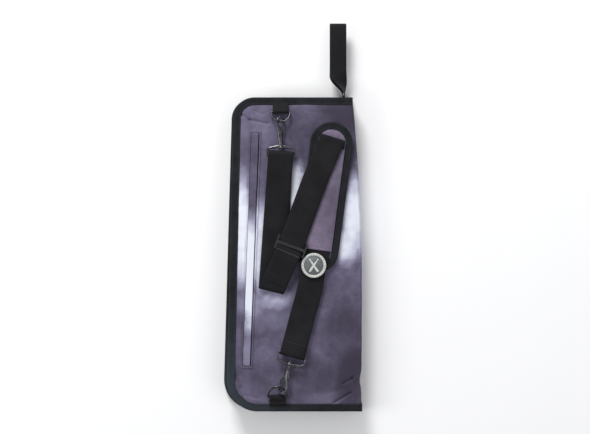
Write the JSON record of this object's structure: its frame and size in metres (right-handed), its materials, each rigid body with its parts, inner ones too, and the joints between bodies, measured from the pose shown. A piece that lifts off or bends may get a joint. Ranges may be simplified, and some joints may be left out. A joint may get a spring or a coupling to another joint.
{
  "type": "drum stick bag",
  "caption": "Flat zip-round fabric bag for drum sticks that opens like a book, with a clip-on padded shoulder strap, an outer pocket and a webbing handle.",
  "frame": {"origin": "middle of the footprint, on the surface that the closed bag lies on", "axes": "+Z out of the front face, +Y towards the top edge and the handle, +X towards the spine fold"},
  "size_m": [0.2084, 0.5844, 0.0561],
  "materials": {
    "printed_polyester": "plain weave, cloud print in purple grey and white",
    "binding_tape": "ribbed woven tape",
    "lining_nylon": "plain woven lining",
    "zip_tape": "herringbone zip tape",
    "zip_coil": "nylon monofilament coil",
    "webbing": "heavy woven webbing",
    "hook_metal": "black nickel plate",
    "zip_metal": "dark enamelled zinc",
    "slider_plastic": "moulded acetal",
    "badge_backing": "soft moulded rubber",
    "badge_light": "silver grey moulding",
    "badge_dark": "dark grey moulding"
  },
  "bodies": {
    "back_half": {"back_panel": "printed_polyester", "back_binding": "binding_tape", "back_lining": "lining_nylon", "back_zip_tape": "zip_tape", "back_zip_coil": "zip_coil", "back_spine": "printed_polyester", "stick_pocket": "lining_nylon"},
    "cover": {"front_panel": "printed_polyester", "front_binding": "binding_tape", "front_lining": "lining_nylon", "front_zip_tape": "zip_tape", "front_zip_coil": "zip_coil", "front_spine": "printed_polyester", "accessory_pocket": "lining_nylon", "pocket_frame": "printed_polyester", "pocket_flap": "printed_polyester", "pocket_zip_tape": "zip_tape", "pocket_bag": "lining_nylon", "ring_tab_upper": "webbing", "ring_tab_lower": "webbing", "strap_upper_run": "webbing", "strap_pad_run": "webbing", "strap_sewn_end": "webbing", "strap_lower_run": "webbing", "pad_base": "printed_polyester", "pad_binding": "binding_tape", "pad_sleeve": "printed_polyester", "badge_base": "badge_backing", "badge_rim": "badge_light", "badge_disc": "badge_dark"},
    "handle": {"handle_loop": "webbing"},
    "pocket_slider": {"pocket_zip_slider": "zip_metal"},
    "strap_adjuster": {"strap_slider": "slider_plastic"},
    "zip_slider_upper": {"zip_slider_upper": "zip_metal"},
    "zip_pull_upper": {"zip_pull_upper": "zip_metal"},
    "ring_upper": {"d_ring_upper": "hook_metal"},
    "bow_upper": {"hook_bow_upper": "hook_metal"},
    "hook_upper": {"hook_body_upper": "hook_metal", "hook_rivet_upper": "hook_metal", "gate_pin_upper": "hook_metal", "gate_spring_upper": "hook_metal"},
    "gate_upper": {"hook_gate_upper": "hook_metal"},
    "zip_slider_lower": {"zip_slider_lower": "zip_metal"},
    "zip_pull_lower": {"zip_pull_lower": "zip_metal"},
    "ring_lower": {"d_ring_lower": "hook_metal"},
    "bow_lower": {"hook_bow_lower": "hook_metal"},
    "hook_lower": {"hook_body_lower": "hook_metal", "hook_rivet_lower": "hook_metal", "gate_pin_lower": "hook_metal", "gate_spring_lower": "hook_metal"},
    "gate_lower": {"hook_gate_lower": "hook_metal"}
  },
  "joints": [
    {"name": "cover_fold", "type": "hinge", "parent": "back_half", "child": "cover", "pos_m": [0.1055, -0.0902, 0.02], "axis": [-0.019, 0.9998, 0], "range_deg": [0, 180]},
    {"name": "handle_swing", "type": "hinge", "parent": "back_half", "child": "handle", "pos_m": [0.078, 0.1818, 0.02], "axis": [0, 0, 1], "range_deg": [-50, 50]},
    {"name": "zip_slide_upper", "type": "slide", "parent": "back_half", "child": "zip_slider_upper", "axis": [0.029, 0.9996, 0], "range_m": [0, 0.1]},
    {"name": "pull_swing_upper", "type": "hinge", "parent": "zip_slider_upper", "child": "zip_pull_upper", "pos_m": [-0.09038, 0.04092, 0.02], "axis": [0, 0, 1], "range_deg": [0, 95]},
    {"name": "zip_slide_lower", "type": "slide", "parent": "back_half", "child": "zip_slider_lower", "axis": [-0.029, -0.9996, 0], "range_m": [0, 0.262]},
    {"name": "pull_swing_lower", "type": "hinge", "parent": "zip_slider_lower", "child": "zip_pull_lower", "pos_m": [-0.09079, 0.02692, 0.02], "axis": [0, 0, -1], "range_deg": [0, 95]},
    {"name": "bow_tilt_upper", "type": "hinge", "parent": "cover", "child": "bow_upper", "pos_m": [-0.0169, 0.09, 0.0493], "axis": [1, 0, 0], "range_deg": [0, 3.5]},
    {"name": "hook_swivel_upper", "type": "hinge", "parent": "bow_upper", "child": "hook_upper", "pos_m": [-0.0169, 0.107, 0.0493], "axis": [0, 1, 0], "range_deg": [0, 20]},
    {"name": "gate_upper_open", "type": "hinge", "parent": "hook_upper", "child": "gate_upper", "pos_m": [-0.01556, 0.1195, 0.0481], "axis": [0.6691, 0, 0.7431], "range_deg": [0, 20], "stiffness_Nm_per_rad": 0.02, "springref_deg": -20.05},
    {"name": "ring_lift_upper", "type": "hinge", "parent": "cover", "child": "ring_upper", "pos_m": [-0.017, 0.158, 0.0434], "axis": [-1, 0, 0], "range_deg": [0, 13]},
    {"name": "bow_tilt_lower", "type": "hinge", "parent": "cover", "child": "bow_lower", "pos_m": [0.0006, -0.2058, 0.0493], "axis": [-0.9613, 0.2756, 0], "range_deg": [0, 3.5]},
    {"name": "hook_swivel_lower", "type": "hinge", "parent": "bow_lower", "child": "hook_lower", "pos_m": [-0.00409, -0.22214, 0.0493], "axis": [-0.2756, -0.9613, 0], "range_deg": [0, 20]},
    {"name": "gate_lower_open", "type": "hinge", "parent": "hook_lower", "child": "gate_lower", "pos_m": [-0.00882, -0.23379, 0.0481], "axis": [-0.6432, 0.1844, 0.7431], "range_deg": [0, 20], "stiffness_Nm_per_rad": 0.02, "springref_deg": -20.05},
    {"name": "ring_lift_lower", "type": "hinge", "parent": "cover", "child": "ring_lower", "pos_m": [-0.0215, -0.2699, 0.0434], "axis": [1, 0, 0], "range_deg": [0, 15]},
    {"name": "strap_slide", "type": "slide", "parent": "cover", "child": "strap_adjuster", "axis": [0.3391, 0.9408, 0], "range_m": [0, 0.045]},
    {"name": "pocket_slide", "type": "slide", "parent": "cover", "child": "pocket_slider", "axis": [0.0375, 0.9993, 0], "range_m": [0, 0.31]}
  ],
  "couplings": [
    {"joint": "ring_lift_upper", "follows": "bow_tilt_upper", "ratio": 3.7},
    {"joint": "ring_lift_lower", "follows": "bow_tilt_lower", "ratio": 4.28}
  ]
}
